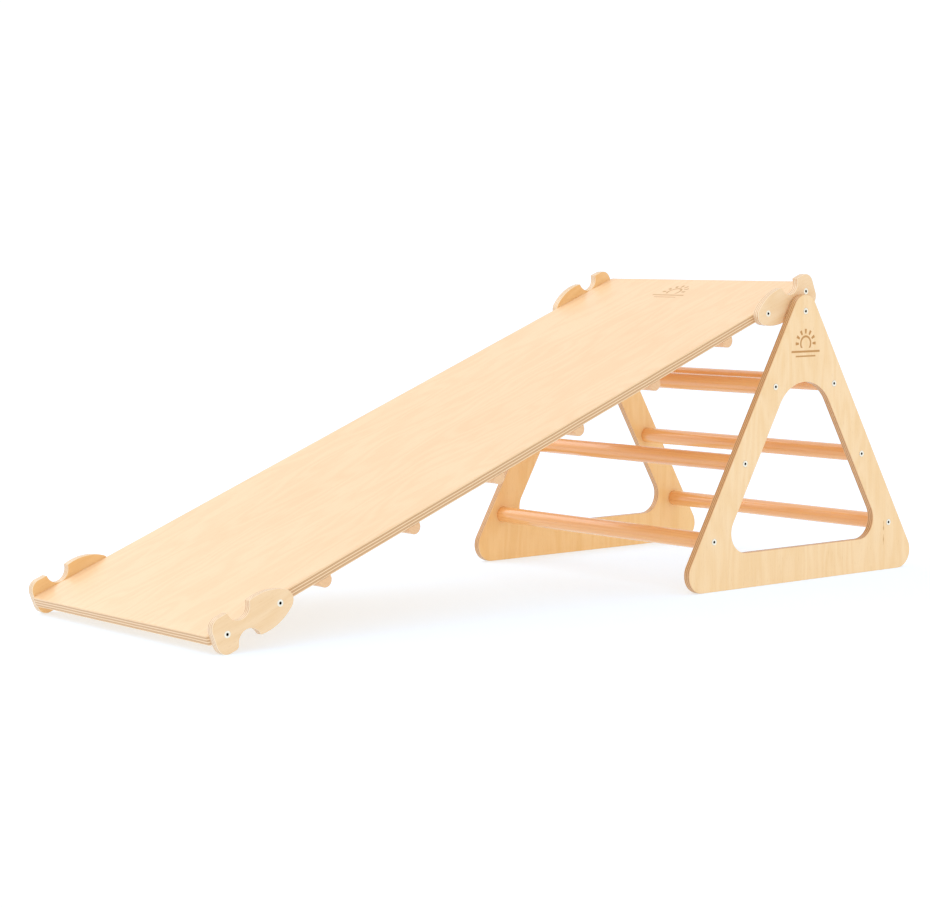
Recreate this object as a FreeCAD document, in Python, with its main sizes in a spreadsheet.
import FreeCAD, Part
import math
import os
import re

import Sketcher

# A toddler's climbing triangle with a hook-on slide ramp.
#
# The frame is two rounded plywood triangles joined by seven round rungs.  The ramp is a plywood
# board between four hook plates.  Its upper hooks hang on the apex rung and its lower hooks rest
# on the floor.  +X runs from the foot of the ramp to the climbing side, +Z is up, and the origin
# is on the floor below the middle of the whole object.  Left is the -Y side.

# ---------------------------------------------------------------- driving dimensions (mm, degrees)

SIZES = {
    # frame
    "panel_gap": 600.0,              # clear width between the two side panels
    "panel_thickness": 15.0,
    "leg_angle": 29.85,              # slope of each leg, from upright
    "rung_pitch": 164.0,             # from rung to rung along a leg
    "lowest_rung_height": 94.5,
    "leg_edge_margin": 31.5,         # rung line to the panel's outer edge
    "opening_edge_margin": 28.5,     # rung line to the panel's opening
    "bottom_rail_height": 67.0,
    "foot_radius": 35.0,
    "opening_foot_radius": 40.0,
    "opening_crown_radius": 78.0,
    "rung_diameter": 32.0,
    "rung_seat_depth": 6.0,
    "rung_end_chamfer": 0.8,
    # ramp
    "ramp_length": 1500.0,
    "ramp_thickness": 18.0,
    "ramp_corner_radius": 6.0,
    "ramp_side_clearance": 3.0,      # hook plate to side panel
    "cleat_diameter": 26.0,
    "cleat_flat": 3.0,               # cleat's flat side, above the middle of the round
    "cleat_pitch": 202.0,
    # hook plates, measured along the plate from its tip screw
    "hook_thickness": 15.0,
    "hook_end_reach": 25.0,          # tip screw to the short lobe's end
    "hook_end_radius": 20.0,
    "notch_reach": 35.8,             # tip screw to the middle of the notches
    "notch_slack": 6.5,              # notch radius over rung radius
    "notch_lip_radius": 2.0,
    "tail_radius": 8.5,              # the short lobe's corner beside the lower notch
    "notch_bearing_angle": 45.0,     # where the rung bears, from square to the deck towards the tip
    "neck_height": 19.5,             # wood left between the two notches
    "crest_reach": 75.0,             # tip screw to where the long lobe is highest
    "crest_height": 32.5,            # half the long lobe's height there
    "nose_reach": 139.0,             # tip screw to the long lobe's nose
    "nose_radius": 18.5,
    "hook_screw_spacing": 111.5,
    "tip_screw_inset": 28.5,         # tip screw to the end of the board
    # rung bolts and their threaded inserts
    "bolt_diameter": 6.0,
    "bolt_length": 30.0,
    "bolt_head_diameter": 12.4,
    "bolt_point": 1.0,
    "hex_key_width": 5.0,
    "hex_key_depth": 2.6,
    "insert_diameter": 9.0,
    "insert_length": 15.0,
    "insert_bore_depth": 24.0,
    # hook screws into the board's edges
    "edge_screw_diameter": 7.0,
    "edge_screw_length": 50.0,
    "edge_screw_head_diameter": 12.0,
    "edge_screw_point": 4.0,
    # cleat screws up into the board
    "cleat_screw_diameter": 4.0,
    "cleat_screw_length": 25.0,
    "cleat_screw_head_diameter": 8.0,
    "cleat_screw_point": 3.0,
    "cleat_screw_sink": 0.8,         # head below the cleat's round face
    "counterbore_margin": 0.5,       # counterbore's rim around the head
    "small_key_width": 2.5,
    "small_key_depth": 1.4,
    "cleat_screw_spread": 380.0,     # between the two screws of a cleat
    # softened edges and fits
    "edge_radius": 1.5,
    "fixed_clearance": 0.1,          # between pieces that are fastened together
    "bolt_clearance": 0.45,          # around the rung bolts, in the side panels
    "running_clearance": 0.4,        # around and beside the apex rung
    "notch_clearance": 0.5,          # between the apex rung and the notch, where it bears
}

RUNGS_PER_LEG = 3
CLEATS = 6

# ---------------------------------------------------------------- document, sheet and helpers

doc = FreeCAD.newDocument("toddler_slide")
sheet = doc.addObject("Spreadsheet::Sheet", "Dimensions")
for row, (name, value) in enumerate(SIZES.items(), start=1):
    sheet.set(f"A{row}", name)
    sheet.set(f"B{row}", str(value))
    sheet.setAlias(f"B{row}", name)
doc.recompute()

X_AXIS = FreeCAD.Vector(1, 0, 0)
Y_AXIS = FreeCAD.Vector(0, 1, 0)
Z_AXIS = FreeCAD.Vector(0, 0, 1)


def worked(formula):
    """The formula with each name of the sheet written as a reference to its cell."""
    def reference(word):
        return f"Dimensions.{word.group()}" if word.group() in SIZES else word.group()

    return re.sub(r"[a-z_]+", reference, formula)


def value_of(formula):
    """The number that a formula of the sheet's names gives."""
    return float(sheet.evalExpression(worked(formula)))


def bind(item, target, formula):
    """Tie a property or a named constraint to a formula of the sheet's names."""
    item.setExpression(target, worked(formula))


def at(x, y, z):
    return FreeCAD.Vector(x, y, z)


def new_body(label):
    body = doc.addObject("PartDesign::Body", label)
    body.Label = label
    return body


def new_sketch(body, height="0", role="XY_Plane"):
    """An empty sketch on one of the body's own planes, moved along the plane's normal by a formula."""
    sketch = body.newObject("Sketcher::SketchObject", "Outline")
    plane = next(item for item in body.Origin.OriginFeatures if item.Role == role)
    sketch.AttachmentSupport = [(plane, "")]
    sketch.MapMode = "FlatFace"
    bind(sketch, "AttachmentOffset.Base.z", height)
    return sketch


def tie(sketch, kind, geometry, point, formula):
    """A distance from the origin to a point of the sketch, bound to a formula."""
    number = sketch.addConstraint(Sketcher.Constraint(kind, -1, 1, geometry, point, value_of(formula)))
    bind(sketch, f"Constraints[{number}]", formula)


def draw_polygon(sketch, corners):
    """A closed polygon whose corners are pairs of formulas."""
    places = [at(value_of(x), value_of(y), 0) for x, y in corners]
    first = sketch.GeometryCount
    for start, end in zip(places, places[1:] + places[:1]):
        sketch.addGeometry(Part.LineSegment(start, end))
    for number, (x, y) in enumerate(corners):
        following = first + (number + 1) % len(corners)
        sketch.addConstraint(Sketcher.Constraint("Coincident", first + number, 2, following, 1))
        tie(sketch, "DistanceX", first + number, 1, x)
        tie(sketch, "DistanceY", first + number, 1, y)


def draw_circles(sketch, centres, diameter):
    """Equal circles at pairs of formulas."""
    for x, y in centres:
        circle = Part.Circle(at(value_of(x), value_of(y), 0), Z_AXIS, value_of(diameter) / 2)
        geometry = sketch.addGeometry(circle)
        number = sketch.addConstraint(Sketcher.Constraint("Diameter", geometry, value_of(diameter)))
        bind(sketch, f"Constraints[{number}]", diameter)
        tie(sketch, "DistanceX", geometry, 3, x)
        tie(sketch, "DistanceY", geometry, 3, y)


def pad(body, sketch, length):
    feature = body.newObject("PartDesign::Pad", "Pad")
    feature.Profile = sketch
    bind(feature, "Length", length)
    doc.recompute()
    return feature


def cut(body, sketch, depth, upwards):
    """A pocket of a given depth, upwards into the piece or downwards; it must take material away."""
    before = body.Shape.Volume
    feature = body.newObject("PartDesign::Pocket", "Pocket")
    feature.Profile = sketch
    feature.Reversed = upwards
    bind(feature, "Length", depth)
    doc.recompute()
    if body.Shape.Volume > before - 1.0:
        raise RuntimeError(f"{body.Label}: a pocket cuts nothing")
    return feature


def dress(body, kind, wanted, target, formula):
    """A fillet or chamfer on the edges of the body that pass the test."""
    edges = [f"Edge{n}" for n, edge in enumerate(body.Shape.Edges, start=1) if wanted(edge)]
    base = body.Tip
    feature = body.newObject(f"PartDesign::{kind}", kind)
    feature.Base = (base, edges)
    bind(feature, target, formula)
    doc.recompute()
    return feature


def upright_at(edge, x, y):
    """Whether an edge runs along Z through a place."""
    middle = edge.CenterOfMass
    level = abs(edge.Vertexes[0].Z - edge.Vertexes[-1].Z) > 1.0
    return level and math.hypot(middle.x - x, middle.y - y) < 0.01


def flat_at(edge, height):
    """Whether an edge lies at a height."""
    box = edge.BoundBox
    return abs(box.ZMin - height) < 1e-4 and abs(box.ZMax - height) < 1e-4


def rim(edge, height, diameter):
    """Whether an edge is a circle of a diameter at a height."""
    round_edge = isinstance(edge.Curve, Part.Circle) and edge.isClosed()
    return round_edge and flat_at(edge, height) and abs(edge.Curve.Radius - diameter / 2) < 1e-4


def countersunk_holes(body, centres, diameter, head_diameter, clearance, face):
    """Screw holes through the piece, widened to seat a 90 degree head at the outer face."""
    hole = f"{diameter} + 2 * {clearance}"
    sketch = new_sketch(body, face)
    draw_circles(sketch, centres, hole)
    cut(body, sketch, face, upwards=False)
    height = value_of(face)
    width = value_of(hole)
    dress(body, "Chamfer", lambda edge: rim(edge, height, width), "Size",
          f"({head_diameter} - {diameter}) / 2")


# ---------------------------------------------------------------- places that follow from the sizes

RISE = "rung_pitch * cos(leg_angle)"
RUN = "rung_pitch * sin(leg_angle)"
APEX = f"(lowest_rung_height + {RUNGS_PER_LEG} * {RISE})"
HALF_FOOT = f"({APEX} * tan(leg_angle) + leg_edge_margin / cos(leg_angle))"
NOTCH_RADIUS = "(rung_diameter / 2 + notch_slack)"
NOTCH_DROP = f"(neck_height / 2 + {NOTCH_RADIUS})"      # board's mid-plane to the notch centre
HOOK_HALF_HEIGHT = NOTCH_DROP   # the notches are half-rounds
SCREW_SPAN = "(ramp_length - 2 * tip_screw_inset)"
BOARD_WIDTH = "(panel_gap - 2 * ramp_side_clearance - 2 * hook_thickness)"
CREST_RADIUS = ("(((nose_reach - nose_radius - crest_reach) ^ 2 + crest_height ^ 2 - nose_radius ^ 2)"
                " / (2 * (crest_height - nose_radius)))")

# Places in the ramp's own frame: its origin is on the apex rung's axis, X runs up the slope and Z is
# square to the deck.
BEARING_SHIFT = "(notch_slack - notch_clearance)"       # notch centre to rung axis
BOARD_HEIGHT = f"({NOTCH_DROP} - {BEARING_SHIFT} * cos(notch_bearing_angle))"
TIP_SCREW_HIGH = f"(notch_reach - {BEARING_SHIFT} * sin(notch_bearing_angle))"
TIP_SCREW_LOW = f"({TIP_SCREW_HIGH} - {SCREW_SPAN})"
HOOK_SCREW_PLACES = [TIP_SCREW_HIGH, f"{TIP_SCREW_HIGH} - hook_screw_spacing",
                     f"{TIP_SCREW_LOW} + hook_screw_spacing", TIP_SCREW_LOW]
CLEAT_PLACES = [f"(({TIP_SCREW_HIGH} + {TIP_SCREW_LOW}) / 2 + {number - (CLEATS - 1) / 2} * cleat_pitch)"
                for number in range(CLEATS)]
CLEAT_SCREW_PLACES = ["-cleat_screw_spread / 2", "cleat_screw_spread / 2"]
CLEAT_DEPTH = "(cleat_diameter / 2 + cleat_flat)"
CLEAT_SCREW_START = f"({CLEAT_DEPTH} - cleat_screw_sink)"   # cleat's flat face to the screw's head

apex_height = value_of(APEX)

# The slope is the one at which the lower hooks' rounded corners touch the floor.
corner_radius = value_of("hook_end_radius")
corner_run = -value_of(f"{TIP_SCREW_LOW} - hook_end_reach + hook_end_radius")
corner_offset = value_of(f"{HOOK_HALF_HEIGHT} - hook_end_radius")
lower_corner = value_of(BOARD_HEIGHT) - corner_offset
slope = (math.asin((apex_height - corner_radius) / math.hypot(corner_run, lower_corner))
         + math.atan2(lower_corner, corner_run))

# The ramp reaches furthest at its board's end or at its lower hooks' upper corner.
board_run = -value_of(f"{TIP_SCREW_LOW} - tip_screw_inset")
deck_height = value_of(f"{BOARD_HEIGHT} + ramp_thickness / 2")
upper_corner = value_of(BOARD_HEIGHT) + corner_offset
ramp_reach = max(board_run * math.cos(slope) + deck_height * math.sin(slope),
                 corner_run * math.cos(slope) + upper_corner * math.sin(slope) + corner_radius)
half_foot = value_of(f"{HALF_FOOT} - foot_radius / tan(45 - leg_angle / 2) + foot_radius")
apex_x = (ramp_reach - half_foot) / 2

ramp_place = FreeCAD.Placement(
    at(apex_x, 0, apex_height), FreeCAD.Rotation(Y_AXIS, -math.degrees(slope)))


def rung_places():
    """Name, side and steps down from the apex of the six leg rungs."""
    for side, sign in (("slide", -1), ("climbing", 1)):
        for step in range(1, RUNGS_PER_LEG + 1):
            yield f"rung_{side}_side_{step}", sign, step


# ---------------------------------------------------------------- frame

def make_side_panel(label, mirrored):
    """A one-piece rounded triangle with a rounded opening, seven rung seats and seven bolt holes.

    It is drawn flat, inner face at Z = 0, and stood up.
    """
    body = new_body(label)
    top = f"{HALF_FOOT} / tan(leg_angle)"
    outline = new_sketch(body)
    draw_polygon(outline, [(f"-{HALF_FOOT}", "0"), (HALF_FOOT, "0"), ("0", top)])
    pad(body, outline, "panel_thickness")

    crown = f"{APEX} - opening_edge_margin / sin(leg_angle)"
    sill = f"({APEX} - bottom_rail_height) * tan(leg_angle) - opening_edge_margin / cos(leg_angle)"
    opening = new_sketch(body)
    draw_polygon(opening, [(f"-({sill})", "bottom_rail_height"), (sill, "bottom_rail_height"), ("0", crown)])
    cut(body, opening, "panel_thickness", upwards=True)

    foot = value_of(HALF_FOOT)
    sill_x, sill_y = value_of(sill), value_of("bottom_rail_height")
    for corners, radius in (
            ([(-foot, 0), (foot, 0)], "foot_radius"),
            ([(0, value_of(top))], "leg_edge_margin"),
            ([(-sill_x, sill_y), (sill_x, sill_y)], "opening_foot_radius"),
            ([(0, value_of(crown))], "opening_crown_radius")):
        dress(body, "Fillet", lambda edge: any(upright_at(edge, x, y) for x, y in corners), "Radius", radius)

    thickness = value_of("panel_thickness")
    dress(body, "Fillet", lambda edge: flat_at(edge, 0) or flat_at(edge, thickness), "Radius", "edge_radius")

    legs = [(f"{sign * step} * {RUN}", f"{APEX} - {step} * {RISE}") for _, sign, step in rung_places()]
    seats = new_sketch(body)
    draw_circles(seats, legs, "rung_diameter + 2 * fixed_clearance")
    cut(body, seats, "rung_seat_depth", upwards=True)
    apex_seat = new_sketch(body)
    draw_circles(apex_seat, [("0", APEX)], "rung_diameter + 2 * running_clearance")
    cut(body, apex_seat, "rung_seat_depth", upwards=True)
    countersunk_holes(body, legs + [("0", APEX)], "bolt_diameter", "bolt_head_diameter",
                      "bolt_clearance", "panel_thickness")

    side = 1 if mirrored else -1
    stand_up = FreeCAD.Rotation(X_AXIS, 90)
    turn = FreeCAD.Rotation(Z_AXIS, 180 if mirrored else 0)
    body.Placement = FreeCAD.Placement(at(apex_x, side * value_of("panel_gap") / 2, 0), turn * stand_up)
    return body


def make_rung(label, x, z, end_gap):
    """A round rung across the frame, bored at both ends for its threaded inserts."""
    body = new_body(label)
    length = f"(panel_gap + 2 * rung_seat_depth - 2 * {end_gap})"
    outline = new_sketch(body, f"-{length} / 2")
    draw_circles(outline, [("0", "0")], "rung_diameter")
    pad(body, outline, length)
    end = value_of(length) / 2
    dress(body, "Chamfer", lambda edge: flat_at(edge, end) or flat_at(edge, -end), "Size", "rung_end_chamfer")
    bore = "insert_diameter + 2 * fixed_clearance"
    for face, upwards in ((f"{length} / 2", False), (f"-{length} / 2", True)):
        mouth = new_sketch(body, face)
        draw_circles(mouth, [("0", "0")], bore)
        cut(body, mouth, "insert_bore_depth", upwards)
    body.Placement = FreeCAD.Placement(at(x, 0, z), FreeCAD.Rotation(X_AXIS, 90))
    return body


# ---------------------------------------------------------------- ramp

def make_board():
    """The slide board, bored in its edges for the hook screws and below for the cleat screws."""
    body = new_body("ramp_board")
    underside = f"({BOARD_HEIGHT} - ramp_thickness / 2)"
    deck = f"({BOARD_HEIGHT} + ramp_thickness / 2)"
    outline = new_sketch(body, underside)
    ends = [f"({TIP_SCREW_LOW} - tip_screw_inset)", f"({TIP_SCREW_HIGH} + tip_screw_inset)"]
    half = f"({BOARD_WIDTH} / 2)"
    low, high = ends
    draw_polygon(outline, [(low, f"-{half}"), (high, f"-{half}"), (high, half), (low, half)])
    pad(body, outline, "ramp_thickness")
    corners = [(value_of(x), sign * value_of(half)) for x in ends for sign in (-1, 1)]
    dress(body, "Fillet", lambda edge: any(upright_at(edge, x, y) for x, y in corners),
          "Radius", "ramp_corner_radius")
    faces = [value_of(underside), value_of(deck)]
    dress(body, "Fillet", lambda edge: any(flat_at(edge, face) for face in faces), "Radius", "edge_radius")

    pilots = new_sketch(body, underside)
    centres = [(x, y) for x in CLEAT_PLACES for y in CLEAT_SCREW_PLACES]
    draw_circles(pilots, centres, "cleat_screw_diameter + 2 * fixed_clearance")
    cut(body, pilots, f"cleat_screw_length - {CLEAT_SCREW_START} + fixed_clearance", upwards=True)

    for side in (-1, 1):
        bores = new_sketch(body, f"{-side} * {half}", "XZ_Plane")
        draw_circles(bores, [(x, BOARD_HEIGHT) for x in HOOK_SCREW_PLACES],
                     "edge_screw_diameter + 2 * fixed_clearance")
        cut(body, bores, "edge_screw_length - hook_thickness + fixed_clearance", upwards=side > 0)
    body.Placement = ramp_place
    return body


def make_cleat(label, along):
    """A round bar with its flat side against the underside of the board, and two sunk screw holes."""
    body = new_body(label)
    radius, flat_height = value_of("cleat_diameter / 2"), value_of("cleat_flat")
    half_flat = math.sqrt(radius ** 2 - flat_height ** 2)
    rise = math.asin(flat_height / radius)
    middle = at(0, -flat_height, 0)
    outline = new_sketch(body, f"-{BOARD_WIDTH} / 2", "XZ_Plane")
    belly = outline.addGeometry(
        Part.ArcOfCircle(Part.Circle(middle, Z_AXIS, radius), math.pi - rise, 2 * math.pi + rise))
    flat = outline.addGeometry(Part.LineSegment(at(half_flat, 0, 0), at(-half_flat, 0, 0)))
    outline.addConstraint(Sketcher.Constraint("Coincident", belly, 2, flat, 1))
    outline.addConstraint(Sketcher.Constraint("Coincident", belly, 1, flat, 2))
    outline.addConstraint(Sketcher.Constraint("Horizontal", flat))
    outline.addConstraint(Sketcher.Constraint("PointOnObject", belly, 3, -2))
    outline.addConstraint(Sketcher.Constraint("PointOnObject", -1, 1, flat))
    size = outline.addConstraint(Sketcher.Constraint("Radius", belly, radius))
    bind(outline, f"Constraints[{size}]", "cleat_diameter / 2")
    size = outline.addConstraint(Sketcher.Constraint("DistanceY", belly, 3, -1, 1, flat_height))
    bind(outline, f"Constraints[{size}]", "cleat_flat")
    pad(body, outline, BOARD_WIDTH)
    end = value_of(f"{BOARD_WIDTH} / 2")
    dress(body, "Chamfer",
          lambda edge: abs(abs(edge.CenterOfMass.y) - end) < 1e-4 and edge.CenterOfMass.z < -1,
          "Size", "rung_end_chamfer")

    centres = [("0", y) for y in CLEAT_SCREW_PLACES]
    hole = "cleat_screw_diameter + 2 * fixed_clearance"
    holes = new_sketch(body)
    draw_circles(holes, centres, hole)
    cut(body, holes, CLEAT_DEPTH, upwards=False)
    sinks = new_sketch(body, f"-{CLEAT_DEPTH}")
    draw_circles(sinks, centres, "cleat_screw_head_diameter + 2 * counterbore_margin")
    cut(body, sinks, "cleat_screw_sink", upwards=True)
    height, width = -value_of(CLEAT_SCREW_START), value_of(hole)
    dress(body, "Chamfer", lambda edge: rim(edge, height, width), "Size",
          "(cleat_screw_head_diameter - cleat_screw_diameter) / 2")
    under = at(value_of(along), 0, value_of(f"{BOARD_HEIGHT} - ramp_thickness / 2"))
    body.Placement = ramp_place * FreeCAD.Placement(under, FreeCAD.Rotation())
    return body


def make_hook_plate(label, upper, right):
    """A fish-shaped plate with a notch above and below its neck, so that it also works turned over.

    It is drawn flat, inner face at Z = 0, from its tip screw at the origin towards its nose.
    """
    body = new_body(label)
    outline = new_sketch(body)
    end, height, notch = (value_of(name) for name in ("hook_end_reach", HOOK_HALF_HEIGHT, "notch_reach"))
    crest, crest_height = value_of("crest_reach"), value_of("crest_height")
    crest_radius = value_of(CREST_RADIUS)
    nose, nose_radius = value_of("nose_reach - nose_radius"), value_of("nose_radius")
    nose_angle = math.atan2(crest_radius - crest_height, nose - crest)

    # Each arc of the long lobe runs on to the middle of the notch, which cuts its start away.
    crest_above = Part.Circle(at(crest, crest_height - crest_radius, 0), Z_AXIS, crest_radius)
    crest_below = Part.Circle(at(crest, crest_radius - crest_height, 0), Z_AXIS, crest_radius)
    nose_round = Part.Circle(at(nose, 0, 0), Z_AXIS, nose_radius)
    crest_angle = math.acos((notch - crest) / crest_radius)
    step = crest_height - crest_radius + math.sqrt(crest_radius ** 2 - (notch - crest) ** 2)
    pieces = [
        Part.LineSegment(at(-end, height, 0), at(-end, -height, 0)),
        Part.LineSegment(at(-end, -height, 0), at(notch, -height, 0)),
        Part.LineSegment(at(notch, -height, 0), at(notch, -step, 0)),
        Part.ArcOfCircle(crest_below, -crest_angle, -nose_angle),
        Part.ArcOfCircle(nose_round, -nose_angle, nose_angle),
        Part.ArcOfCircle(crest_above, nose_angle, crest_angle),
        Part.LineSegment(at(notch, step, 0), at(notch, height, 0)),
        Part.LineSegment(at(notch, height, 0), at(-end, height, 0)),
    ]
    for piece in pieces:
        outline.addGeometry(piece)
    for number in range(len(pieces)):
        following = (number + 1) % len(pieces)
        outline.addConstraint(Sketcher.Constraint("Coincident", number, 2, following, 1))
    for number, formula in ((3, CREST_RADIUS), (4, "nose_radius"), (5, CREST_RADIUS)):
        size = outline.addConstraint(Sketcher.Constraint("Radius", number, value_of(formula)))
        bind(outline, f"Constraints[{size}]", formula)
    pad(body, outline, "hook_thickness")

    rounds = new_sketch(body)
    centres = [("notch_reach", f"{sign}{NOTCH_DROP}") for sign in ("-", "")]
    draw_circles(rounds, centres, f"2 * {NOTCH_RADIUS}")
    cut(body, rounds, "hook_thickness", upwards=True)
    # The lobes' corners lie at the plate's end and at the notches. The underside is towards the floor.
    radius = value_of(NOTCH_RADIUS)
    near = notch - radius
    across, down = crest - notch, crest_height - crest_radius - height
    apart = math.hypot(across, down)
    ahead = (radius ** 2 - crest_radius ** 2 + apart ** 2) / (2 * apart)
    aside = math.sqrt(radius ** 2 - ahead ** 2)
    far = notch + (ahead * across - aside * down) / apart
    far_height = height + (ahead * down + aside * across) / apart
    underside = -height if upper == right else height
    for corners, rounding in (
            ([(-end, height), (-end, -height)], "hook_end_radius"),
            ([(near, underside)], "tail_radius"),
            ([(near, -underside), (far, far_height), (far, -far_height)], "notch_lip_radius")):
        dress(body, "Fillet", lambda edge: any(upright_at(edge, x, y) for x, y in corners),
              "Radius", rounding)
    thickness = value_of("hook_thickness")
    dress(body, "Fillet", lambda edge: flat_at(edge, 0) or flat_at(edge, thickness), "Radius", "edge_radius")
    countersunk_holes(body, [("0", "0"), ("hook_screw_spacing", "0")], "edge_screw_diameter",
                      "edge_screw_head_diameter", "fixed_clearance", "hook_thickness")

    # The plate's X runs from its tip screw towards the board's middle, and its Z outwards.
    inwards = -X_AXIS if upper else X_AXIS
    outwards = Y_AXIS if right else -Y_AXIS
    turn = FreeCAD.Rotation(inwards, outwards.cross(inwards), outwards, "XYZ")
    tip = value_of(TIP_SCREW_HIGH if upper else TIP_SCREW_LOW)
    face = outwards * value_of(f"{BOARD_WIDTH} / 2")
    place = FreeCAD.Placement(at(tip, face.y, value_of(BOARD_HEIGHT)), turn)
    body.Placement = ramp_place * place
    return body


# ---------------------------------------------------------------- fasteners

def make_screw(label, diameter, length, head_diameter, point, key_width, key_depth):
    """A countersunk hexagon-socket screw, head face at the origin and point up +Z."""
    head = doc.addObject("Part::Cone", label + "_head")
    bind(head, "Radius1", f"{head_diameter} / 2")
    bind(head, "Radius2", f"{diameter} / 2")
    bind(head, "Height", f"({head_diameter} - {diameter}) / 2")
    shank = doc.addObject("Part::Cylinder", label + "_shank")
    bind(shank, "Radius", f"{diameter} / 2")
    bind(shank, "Height", f"{length} - {point} - ({head_diameter} - {diameter}) / 2")
    bind(shank, "Placement.Base.z", f"({head_diameter} - {diameter}) / 2")
    tip = doc.addObject("Part::Cone", label + "_point")
    bind(tip, "Radius1", f"{diameter} / 2")
    bind(tip, "Radius2", f"{diameter} / 4")
    bind(tip, "Height", point)
    bind(tip, "Placement.Base.z", f"{length} - {point}")
    blank = doc.addObject("Part::MultiFuse", label + "_blank")
    blank.Shapes = [head, shank, tip]
    key = doc.addObject("Part::Prism", label + "_key")
    key.Polygon = 6
    bind(key, "Circumradius", f"{key_width} / (2 * cos(30))")
    bind(key, "Height", key_depth)
    screw = doc.addObject("Part::Cut", label)
    screw.Base = blank
    screw.Tool = key
    doc.recompute()
    return screw


def make_insert():
    """A threaded insert as a plain sleeve, its mouth at the origin and its length up +Z."""
    outside = doc.addObject("Part::Cylinder", "insert_outside")
    bind(outside, "Radius", "insert_diameter / 2")
    bind(outside, "Height", "insert_length")
    inside = doc.addObject("Part::Cylinder", "insert_inside")
    bind(inside, "Radius", "bolt_diameter / 2 + fixed_clearance")
    bind(inside, "Height", "insert_length")
    sleeve = doc.addObject("Part::Cut", "insert")
    sleeve.Base = outside
    sleeve.Tool = inside
    doc.recompute()
    return sleeve


def make_group(label, piece, places):
    """One sub-part of several identical loose solids."""
    group = doc.addObject("Part::Feature", label)
    group.Label = label
    copies = []
    for place in places:
        copy = piece.Shape.copy()
        copy.Placement = place
        copies.append(copy)
    group.Shape = Part.makeCompound(copies)
    return group


def driven_inwards(side):
    """The turn that points a screw from a side of the object towards its middle."""
    return FreeCAD.Rotation(Z_AXIS, Y_AXIS * -side)


# ---------------------------------------------------------------- assembly

rise, run = value_of(RISE), value_of(RUN)
leg_places = [(sign * step * run, apex_height - step * rise) for _, sign, step in rung_places()]

subparts = [make_side_panel("side_panel_left", False), make_side_panel("side_panel_right", True)]
for (name, sign, step), (x, z) in zip(rung_places(), leg_places):
    subparts.append(make_rung(name, apex_x + x, z, "0"))
subparts.append(make_rung("rung_apex", apex_x, apex_height, "running_clearance"))

bolt = make_screw("rung_bolt", "bolt_diameter", "bolt_length", "bolt_head_diameter", "bolt_point",
                  "hex_key_width", "hex_key_depth")
insert = make_insert()
outer_face = value_of("panel_gap / 2 + panel_thickness")
rung_end = value_of("panel_gap / 2 + rung_seat_depth")
apex_rung_end = rung_end - value_of("running_clearance")


def rung_fixings(side, places, distance):
    """Placements for the fixings at one side of rungs at places (x, z)."""
    return [FreeCAD.Placement(at(apex_x + x, side * distance, z), driven_inwards(side)) for x, z in places]


for side, word in ((-1, "left"), (1, "right")):
    subparts.append(make_group(f"rung_bolts_{word}", bolt, rung_fixings(side, leg_places, outer_face)))
    subparts.append(make_group(f"rung_inserts_{word}", insert, rung_fixings(side, leg_places, rung_end)))
apex_place = [(0, apex_height)]
subparts.append(make_group("apex_bolts", bolt, [
    place for side in (-1, 1) for place in rung_fixings(side, apex_place, outer_face)]))
subparts.append(make_group("apex_inserts", insert, [
    place for side in (-1, 1) for place in rung_fixings(side, apex_place, apex_rung_end)]))

subparts.append(make_board())
for number, along in enumerate(CLEAT_PLACES, start=1):
    subparts.append(make_cleat(f"cleat_{number}", along))
for upper, height in ((True, "upper"), (False, "lower")):
    for right, word in ((False, "left"), (True, "right")):
        subparts.append(make_hook_plate(f"hook_plate_{height}_{word}", upper, right))

edge_screw = make_screw("edge_screw", "edge_screw_diameter", "edge_screw_length", "edge_screw_head_diameter",
                        "edge_screw_point", "hex_key_width", "hex_key_depth")
hook_face = value_of(f"{BOARD_WIDTH} / 2 + hook_thickness")
for side, word in ((-1, "left"), (1, "right")):
    subparts.append(make_group(f"hook_screws_{word}", edge_screw, [
        ramp_place * FreeCAD.Placement(at(value_of(x), side * hook_face, value_of(BOARD_HEIGHT)),
                                       driven_inwards(side))
        for x in HOOK_SCREW_PLACES]))

cleat_screw = make_screw("cleat_screw", "cleat_screw_diameter", "cleat_screw_length",
                         "cleat_screw_head_diameter", "cleat_screw_point", "small_key_width",
                         "small_key_depth")
head_height = value_of(f"{BOARD_HEIGHT} - ramp_thickness / 2 - {CLEAT_SCREW_START}")
subparts.append(make_group("cleat_screws", cleat_screw, [
    ramp_place * FreeCAD.Placement(at(value_of(x), value_of(y), head_height), FreeCAD.Rotation())
    for x in CLEAT_PLACES for y in CLEAT_SCREW_PLACES]))
doc.recompute()

# ---------------------------------------------------------------- checks and export

for item in doc.Objects:
    if {"Invalid", "Error"} & set(item.State):
        raise RuntimeError(f"{item.Label} failed: {item.State}")
for item in subparts:
    if item.Shape.isNull() or not item.Shape.isValid():
        raise RuntimeError(f"{item.Label} has no valid shape")

os.makedirs("parts", exist_ok=True)
for item in subparts:
    item.Shape.exportStep(f"parts/{item.Label}.step")
print(f"{len(subparts)} sub-parts, slope {math.degrees(slope):.2f} degrees, apex at {apex_x:.1f} mm")
